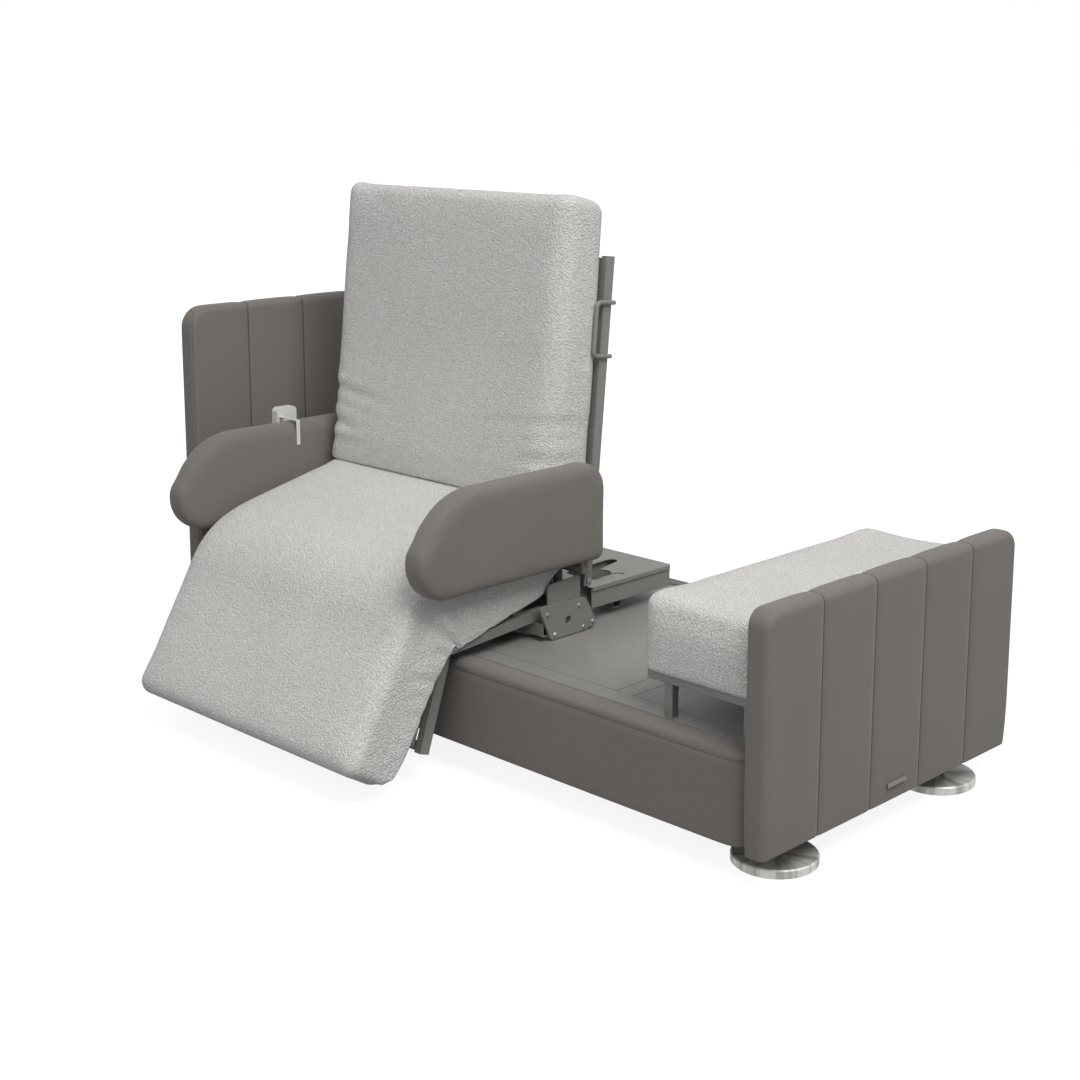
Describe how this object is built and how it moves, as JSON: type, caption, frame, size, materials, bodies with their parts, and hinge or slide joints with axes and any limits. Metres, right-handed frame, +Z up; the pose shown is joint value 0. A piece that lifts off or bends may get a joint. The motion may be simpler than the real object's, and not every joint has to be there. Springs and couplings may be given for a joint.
{
  "type": "rotating chair bed",
  "caption": "Upholstered bed base with a powered recliner chair on a turntable, armrests, lowered leg-rest, foot mattress and handset.",
  "frame": {"origin": "middle of the bounding box on the floor, with the chair turned out and its leg-rest lowered", "axes": "+X along the bed from the head end to the foot end, the chair faces -Y, +Z up"},
  "size_m": [2.132, 1.343, 1.4436],
  "materials": {
    "upholstery": "matt woven upholstery",
    "mattress_cover": "nubbly terry knit",
    "frame_paint": "satin powder coat",
    "deck_paint": "satin powder coat",
    "dark_paint": "satin powder coat",
    "brushed_disc": "radially brushed",
    "bright_steel": "turned",
    "dark_plastic": "fine texture",
    "handset_plastic": "fine texture",
    "key_plastic": "matt"
  },
  "bodies": {
    "base": {"headboard": "upholstery", "footboard": "upholstery", "badge_plate": "brushed_disc", "near_side_rail": "upholstery", "far_side_rail": "upholstery", "base_longerons": "dark_paint", "base_crossmembers": "dark_paint", "floor_discs": "brushed_disc", "foot_stems": "dark_paint", "deck_main_panel": "deck_paint", "deck_cross_panel": "deck_paint", "deck_foot_panel": "deck_paint", "deck_edge_strips": "deck_paint", "foot_platform_frame": "frame_paint", "foot_platform_legs": "frame_paint", "foot_mattress": "mattress_cover", "slewing_ring": "bright_steel", "swivel_motor": "dark_plastic", "control_box": "dark_plastic"},
    "turntable": {"turntable_hub": "bright_steel", "carrier_beams": "frame_paint", "carrier_arms": "frame_paint", "carrier_side_plates": "frame_paint", "cover_plate": "frame_paint", "cover_skirts": "frame_paint", "side_brackets": "frame_paint", "bracket_screws": "bright_steel", "mattress_flaps": "frame_paint", "armrest_sockets": "frame_paint", "knee_shaft": "bright_steel", "recline_pins": "bright_steel", "back_actuator": "dark_plastic", "leg_actuator": "dark_plastic", "lift_bearings": "frame_paint", "lift_motor": "dark_plastic", "handset_gland": "dark_plastic"},
    "lift": {"lift_shaft": "bright_steel"},
    "seat": {"seat_side_tubes": "frame_paint", "seat_cross_tubes": "frame_paint", "seat_pan": "frame_paint", "seat_cushion": "mattress_cover"},
    "leg_rest": {"leg_tubes": "frame_paint", "leg_pan": "frame_paint", "leg_cushion": "mattress_cover"},
    "back": {"back_tubes": "frame_paint", "back_panel": "frame_paint", "back_lever": "frame_paint", "mattress_loops": "frame_paint", "back_cushion": "mattress_cover"},
    "back_rod": {"back_actuator_rod": "bright_steel"},
    "leg_rod": {"leg_actuator_rod": "bright_steel"},
    "near_armrest": {"near_armrest_pad": "upholstery", "near_armrest_post": "frame_paint"},
    "far_armrest": {"far_armrest_pad": "upholstery", "far_armrest_post": "frame_paint"},
    "handset": {"handset_case": "handset_plastic"},
    "key_back_up": {"button_back_up": "key_plastic"},
    "key_back_down": {"button_back_down": "key_plastic"},
    "key_legs_up": {"button_legs_up": "key_plastic"},
    "key_legs_down": {"button_legs_down": "key_plastic"}
  },
  "joints": [
    {"name": "swivel", "type": "hinge", "parent": "base", "child": "turntable", "pos_m": [-0.338, 0.17147, 0.309], "axis": [0, 0, 1], "range_deg": [0, 3.5]},
    {"name": "seat_drop", "type": "hinge", "parent": "turntable", "child": "seat", "pos_m": [-0.338, -0.33353, 0.34], "axis": [-1, 0, 0], "range_deg": [0, 8.5]},
    {"name": "leg_raise", "type": "hinge", "parent": "seat", "child": "leg_rest", "pos_m": [-0.338, -0.33353, 0.34], "axis": [-1, 0, 0], "range_deg": [0, 47.5]},
    {"name": "back_recline", "type": "hinge", "parent": "turntable", "child": "back", "pos_m": [-0.338, 0.13747, 0.422], "axis": [-1, 0, 0], "range_deg": [0, 84.5]},
    {"name": "lift_turn", "type": "hinge", "parent": "turntable", "child": "lift", "pos_m": [-0.338, 0.08647, 0.34], "axis": [1, 0, 0], "range_deg": [0, 45]},
    {"name": "back_rod_slide", "type": "slide", "parent": "turntable", "child": "back_rod", "axis": [0, -1, 0], "range_m": [0, 0.09]},
    {"name": "leg_rod_slide", "type": "slide", "parent": "turntable", "child": "leg_rod", "axis": [0, -1, 0], "range_m": [0, 0.03]},
    {"name": "near_armrest_lift", "type": "slide", "parent": "turntable", "child": "near_armrest", "axis": [0, 0, 1], "range_m": [0, 0.045]},
    {"name": "far_armrest_lift", "type": "slide", "parent": "turntable", "child": "far_armrest", "axis": [0, 0, 1], "range_m": [0, 0.045]},
    {"name": "handset_lift", "type": "slide", "parent": "far_armrest", "child": "handset", "axis": [0, 0, 1], "range_m": [0, 0.08]},
    {"name": "press_back_up", "type": "slide", "parent": "handset", "child": "key_back_up", "axis": [1, 0, 0], "range_m": [0, 0.0015], "stiffness_N_per_m": 400, "springref_m": -0.001},
    {"name": "press_back_down", "type": "slide", "parent": "handset", "child": "key_back_down", "axis": [1, 0, 0], "range_m": [0, 0.0015], "stiffness_N_per_m": 400, "springref_m": -0.001},
    {"name": "press_legs_up", "type": "slide", "parent": "handset", "child": "key_legs_up", "axis": [1, 0, 0], "range_m": [0, 0.0015], "stiffness_N_per_m": 400, "springref_m": -0.001},
    {"name": "press_legs_down", "type": "slide", "parent": "handset", "child": "key_legs_down", "axis": [1, 0, 0], "range_m": [0, 0.0015], "stiffness_N_per_m": 400, "springref_m": -0.001}
  ],
  "couplings": [
    {"joint": "lift_turn", "follows": "seat_drop", "ratio": 5.176},
    {"joint": "back_rod_slide", "follows": "back_recline", "m_per_rad": 0.0592},
    {"joint": "leg_rod_slide", "follows": "leg_raise", "m_per_rad": 0.0297}
  ]
}
